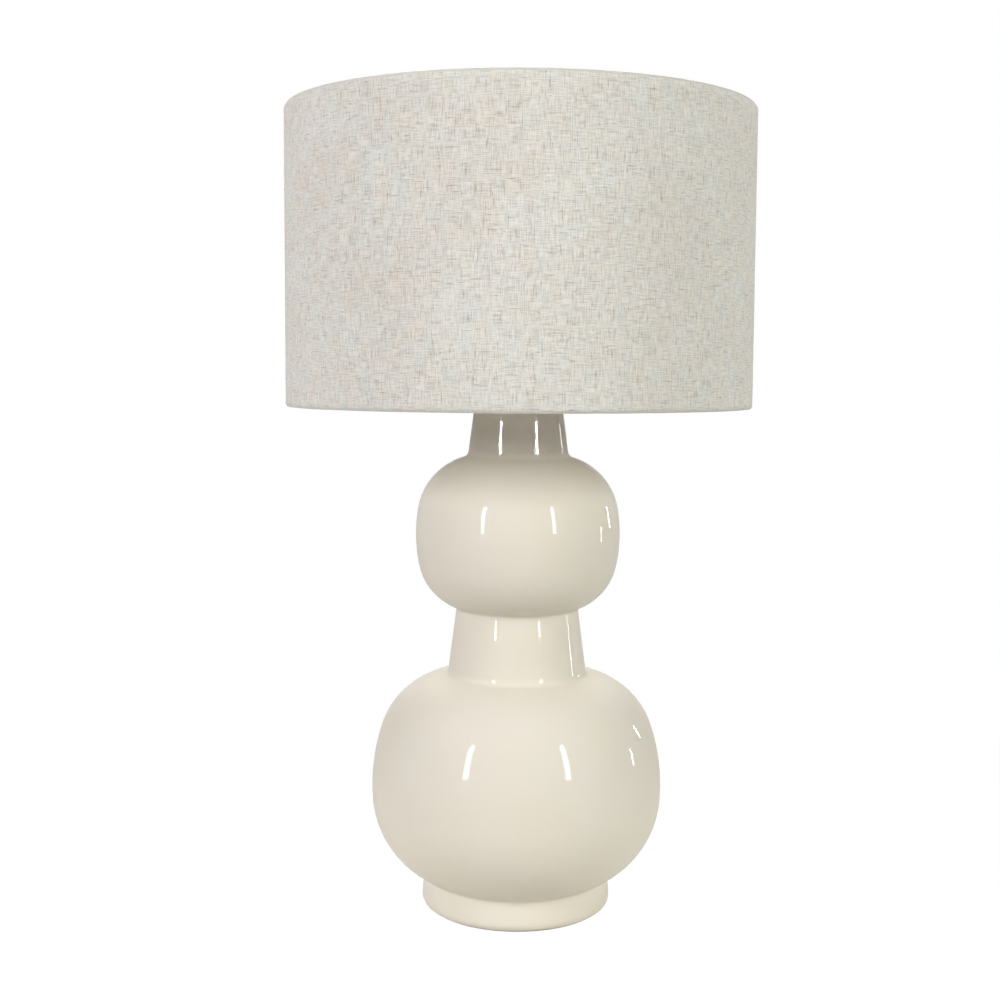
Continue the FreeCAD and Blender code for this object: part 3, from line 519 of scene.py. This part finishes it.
def glazed_body():
    """The ceramic: glaze outside, bare clay under the foot, and the hole for the cord."""
    mesh = bmesh.new()
    edge_arc = (foot_edge_inset ** 2 + foot_belly_height ** 2) / (2 * foot_edge_inset)
    edge = (foot_r - edge_arc, belly_z)
    taper = (foot_r - foot_taper_r, belly_z)
    middle, on_foot, on_gourd = circle_crease(taper, foot_taper_r, lower.under, lower.under_arc, foot_crease)
    lean = math.degrees(math.atan2(neck_bottom_r - neck_top_r, neck_height))
    rim = (neck_top_r - rim_round, neck_top_z - rim_round)
    floor_under_z = floor_top_z - floor_thickness
    start, end = draw(mesh, (flat_ring_r, felt_thickness), [
        Arc(edge, edge_arc, angle_of(edge, (flat_ring_r, felt_thickness)), 0),
        Arc(taper, foot_taper_r, 0, angle_of(taper, on_foot)),
        crease_arc(middle, foot_crease, on_foot, on_gourd),
        *body_side(on_gourd, 0),
        Arc(rim, rim_round, lean, 90),
    ], fine_step)
    inner_start = (lower.under[0], floor_top_z)
    inner_top = leaned((neck_bottom_r, neck_bottom_z), (neck_top_r, neck_top_z), wall)[1]
    under, inner_end = draw(mesh, (recess_r, felt_thickness), [
        (recess_r, floor_under_z), (rod_hole_r, floor_under_z), (rod_hole_r, floor_top_z), inner_start,
        *body_side(inner_start, wall), inner_top,
    ], coarse_step)
    for pair in ((start, under), (end, inner_end)):
        bmesh.ops.contextual_create(mesh, geom=pair)
    lathe(mesh)
    for face in mesh.faces:
        middle = face.calc_center_median() / MM
        reach = math.hypot(middle.x, middle.y)
        rests = middle.z < felt_thickness + merged
        if rests or middle.z < floor_top_z and reach < recess_r + merged:
            face.material_index = 1
    body = piece("glazed_body", mesh, "lamp", "glazed_stoneware", finishes["glazed_stoneware"], clay)
    bore(body)
    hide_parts("ceramic_body")


def bore(body):
    """Cuts the round hole for the cord's bushing through the back of the foot."""
    mesh = bmesh.new()
    bmesh.ops.create_cone(mesh, cap_ends=True, segments=drill_turn_steps, radius1=cord_hole_r * MM,
                          radius2=cord_hole_r * MM, depth=4 * foot_ring_width * MM)
    place = Matrix.Translation((0, foot_r * MM, cord_hole_z * MM)) @ Matrix.Rotation(math.pi / 2, 4, "X")
    bmesh.ops.transform(mesh, matrix=place, verts=mesh.verts[:])
    data = bpy.data.meshes.new("drill")
    mesh.to_mesh(data)
    mesh.free()
    drill = bpy.data.objects.new("drill", data)
    bpy.context.scene.collection.objects.link(drill)
    cut = body.modifiers.new("cord hole", "BOOLEAN")
    cut.object = drill
    cut.solver = "EXACT"
    cut.operation = "DIFFERENCE"
    view = bpy.context.evaluated_depsgraph_get()
    done = bpy.data.meshes.new_from_object(body.evaluated_get(view))
    body.modifiers.clear()
    old = body.data
    body.data = done
    bpy.data.meshes.remove(old)
    bpy.data.objects.remove(drill)


def linen_outline(mesh, top_z, low_z):
    """The linen's closed outline: outside, over the top wire and back, inside, and round the lower wire."""
    inner = hem_r - linen
    top, low = (shade_r - hem_r, top_z), (shade_r - hem_r, low_z)
    draw(mesh, (shade_r, low_z), [
        Arc(top, hem_r, 0, 270),
        Arc(top, inner, 270, 0),
        Arc(low, inner, 0, -270),
        Arc(low, hem_r, -270, 0),
    ], cloth_step)


def give_weave_map(mesh):
    """UV map in metres: round the shade, and along the outline from its lower hem."""
    along = mesh.verts.layers.float["along"]
    sheet = mesh.loops.layers.uv.new("weave")
    for face in mesh.faces:
        middle = face.calc_center_median()
        about = math.atan2(middle.x, -middle.y)
        for loop in face.loops:
            co = loop.vert.co
            turn = math.atan2(co.x, -co.y)
            turn += 2 * math.pi * round((about - turn) / (2 * math.pi))
            flat = abs(math.hypot(co.x, co.y) - shade_r * MM) < merged * MM
            loop[sheet].uv = (turn * shade_r * MM, co.z if flat else loop.vert[along] * MM)


def linen_skin():
    """Linen stretched round the shade and rolled over both wire rings, with its lapped seam at the back."""
    (_, _, low), (_, _, high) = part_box("shade_linen")
    low_z, top_z = low / MM + hem_r, high / MM - hem_r
    mesh = bmesh.new()
    linen_outline(mesh, top_z, low_z)
    lathe(mesh)
    give_weave_map(mesh)
    skin = piece("linen_skin", mesh, "shade", "slub_linen", finishes["slub_linen"])
    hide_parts("shade_linen")
    lap = linen_lap(low_z, top_z)


def linen_lap(low_z, top_z):
    """The seam's upper layer, a strip of the same linen that stands a little proud at the back."""
    mesh = bmesh.new()
    outer = shade_r + seam_proud
    draw(mesh, (shade_r, low_z), [
        (outer, low_z + seam_proud), (outer, top_z - seam_proud), (shade_r, top_z),
    ], cloth_step)
    half = seam_overlap / 2 / shade_r
    to_back = Matrix.Rotation(math.pi / 2 - half, 3, "Z")
    bmesh.ops.rotate(mesh, cent=(0, 0, 0), matrix=to_back, verts=mesh.verts[:])
    bmesh.ops.spin(mesh, geom=mesh.verts[:] + mesh.edges[:], cent=(0, 0, 0), axis=(0, 0, 1),
                   angle=2 * half, steps=lap_turn_steps, use_merge=False)
    bmesh.ops.recalc_face_normals(mesh, faces=mesh.faces[:])
    bmesh.ops.scale(mesh, vec=(MM, MM, MM), verts=mesh.verts[:])
    give_weave_map(mesh)
    made = piece("linen_lap", mesh, "shade", "slub_linen", finishes["slub_linen"])
    thick = made.modifiers.new("cloth", "SOLIDIFY")
    thick.thickness = lap_cloth * MM
    thick.offset = -1
    return made


def felt_disc():
    """Felt under the foot, its cut edge a little rounded."""
    (_, _, low), (reach, _, high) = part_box("felt_pad")
    r, low_z, top_z = reach / MM, low / MM, high / MM
    soft = felt_edge_round
    mesh = bmesh.new()
    draw(mesh, (0, low_z), [
        (r - soft, low_z), Arc((r - soft, low_z + soft), soft, -90, 0),
        Arc((r - soft, top_z - soft), soft, 0, 90), (0, top_z),
    ], felt_step)
    lathe(mesh, felt_turn_steps)
    disc = piece("felt_disc", mesh, "lamp", "grey_felt", finishes["grey_felt"])
    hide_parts("felt_pad")


def dress_nodes():
    """Every CAD node that shows gets the finish of its slot."""
    for part in frame["record"]["subparts"]:
        finish = drawn_brass if part["node"] in drawn_nodes else finishes[part["material_slot"]]
        dressed = nodes[part["node"]].data.materials
        dressed.clear()
        dressed.append(finish)


# ---------------------------------------------------------------- studio

def camera():
    """The photograph's camera, in front of the lamp and looking slightly down."""
    data = bpy.data.cameras.new("camera")
    data.sensor_width = sensor
    data.lens = focal_px * sensor / 1000
    made = bpy.data.objects.new("camera", data)
    made.location = camera_place
    made.rotation_euler = (math.radians(90 - camera_pitch), math.radians(-camera_roll), 0)
    bpy.context.scene.collection.objects.link(made)
    bpy.context.scene.camera = made


def seen_directly(tree):
    """1 for rays that come from the camera, a mirror or a lens, and 0 for the light that falls on things."""
    seen = add(tree, "ShaderNodeLightPath", out="Is Camera Ray")
    for ray in ("Is Glossy Ray", "Is Transmission Ray"):
        path = add(tree, "ShaderNodeLightPath", out=ray)
        seen = add(tree, "ShaderNodeMath", {0: seen, 1: path}, operation="MAXIMUM")
    return seen


def surroundings():
    """Dim even room light, seen as white."""
    bpy.context.scene.view_settings.view_transform = "Standard"
    world = bpy.data.worlds.new("studio")
    world.use_nodes = True
    bpy.context.scene.world = world
    tree = world.node_tree
    tree.nodes.clear()
    room = add(tree, "ShaderNodeBackground", {"Color": (1, 1, 1, 1), "Strength": room_light})
    white = add(tree, "ShaderNodeBackground", {"Color": (1, 1, 1, 1), "Strength": 1.0})
    both = add(tree, "ShaderNodeMixShader", {0: seen_directly(tree), 1: room, 2: white})
    add(tree, "ShaderNodeOutputWorld", {"Surface": both})


def floor():
    """Wide pale paper, seen as white but for a faint shadow near the lamp."""
    mesh = bmesh.new()
    bmesh.ops.create_grid(mesh, x_segments=1, y_segments=1, size=floor_size)
    data = bpy.data.meshes.new("floor")
    mesh.to_mesh(data)
    mesh.free()
    made = bpy.data.objects.new("floor", data)
    bpy.context.scene.collection.objects.link(made)
    paper = bpy.data.materials.new("pale paper floor")
    paper.use_nodes = True
    tree = paper.node_tree
    tree.nodes.clear()
    place = add(tree, "ShaderNodeTexCoord", out="Object")
    reach = add(tree, "ShaderNodeVectorMath", {0: place}, "Value", operation="LENGTH")
    away = add(tree, "ShaderNodeMapRange", {
        "Value": reach, "From Min": shadow_reach, "From Max": plain_reach})
    white = add(tree, "ShaderNodeMapRange", {"Value": away, "To Min": 0.9, "To Max": 1.0})
    level = add(tree, "ShaderNodeMapRange", {"Value": away, "To Min": 1.08, "To Max": 1.0})
    colour = add(tree, "ShaderNodeMix", {
        0: away, 6: tone("#E4E2DB"), 7: tone("#7A7977")}, 2, data_type="RGBA")
    share = add(tree, "ShaderNodeMath", {0: seen_directly(tree), 1: white}, operation="MULTIPLY")
    matt = add(tree, "ShaderNodeBsdfDiffuse", {"Color": colour})
    glow = add(tree, "ShaderNodeEmission", {"Color": (1, 1, 1, 1), "Strength": level})
    both = add(tree, "ShaderNodeMixShader", {0: share, 1: matt, 2: glow})
    add(tree, "ShaderNodeOutputMaterial", {"Surface": both})
    data.materials.append(paper)


def around(azimuth, distance, height):
    """A place at azimuth degrees to the right of the camera's side, distance metres from the lamp's axis."""
    a = math.radians(azimuth)
    return Vector((math.sin(a) * distance, -math.cos(a) * distance, height))


def light(name, place, target, width, height, radiance, colour, mirrored, spread=180):
    """Rectangular light that faces target, as wide and high as given in metres.

    A mirrored one only shows as a highlight, and the others only light things.
    """
    data = bpy.data.lights.new(name, "AREA")
    data.shape = "RECTANGLE"
    data.size, data.size_y = width, height
    data.energy = radiance * math.pi * width * height
    data.color = tone(colour)[:3]
    data.spread = math.radians(spread)
    made = bpy.data.objects.new(name, data)
    made.location = place
    made.rotation_euler = (Vector(target) - place).to_track_quat("-Z", "Y").to_euler()
    made.visible_camera = False
    made.visible_glossy = mirrored
    made.visible_diffuse = not mirrored
    bpy.context.scene.collection.objects.link(made)


def lights():
    """Soft light from both sides, behind and above, and narrow strips for the glaze's upright highlights."""
    soft_lights = (
        ("soft left", around(-47, 2.4, 1.3), 1.5, 1.1, 8.0, "#FFFCFA"),
        ("soft right", around(48, 2.4, 1.3), 1.5, 1.1, 7.2, "#FFFFF6"),
        ("soft back", around(180, 2.4, 1.9), 1.6, 1.1, 9.0, "#FFFFFF"),
        ("overhead", around(-10, 1.4, 2.5), 2.0, 1.4, 0.5, "#FFFFFF"),
    )
    for name, place, width, height, radiance, colour in soft_lights:
        light(name, place, studio_middle, width, height, radiance, colour, mirrored=False)
    # The azimuth, distance, lowest and highest point, width and spread of each strip. Those of the neck
    # stand under the shade, which hides the others from it.
    strips = (
        ("strip left", -39.5, 2.0, 0.365, 1.42, 0.15, 180),
        ("strip right", 39.5, 2.0, 0.365, 1.42, 0.15, 180),
        ("strip behind", 122, 2.0, 0.26, 0.66, 0.09, 180),
        ("low strip behind", 104, 2.0, 0.10, 0.34, 0.07, 180),
        ("neck strip left", -39, 0.17, 0.428, 0.455, 0.015, 60),
        ("neck strip right", 39, 0.17, 0.428, 0.455, 0.015, 60),
    )
    for name, azimuth, distance, low, high, width, spread in strips:
        middle = (low + high) / 2
        light(name, around(azimuth, distance, middle), (0, 0, middle), width, high - low, strip_radiance,
              "#FFFFFF", mirrored=True, spread=spread)


glazed_body()
linen_skin()
felt_disc()
dress_nodes()
camera()
surroundings()
floor()
lights()
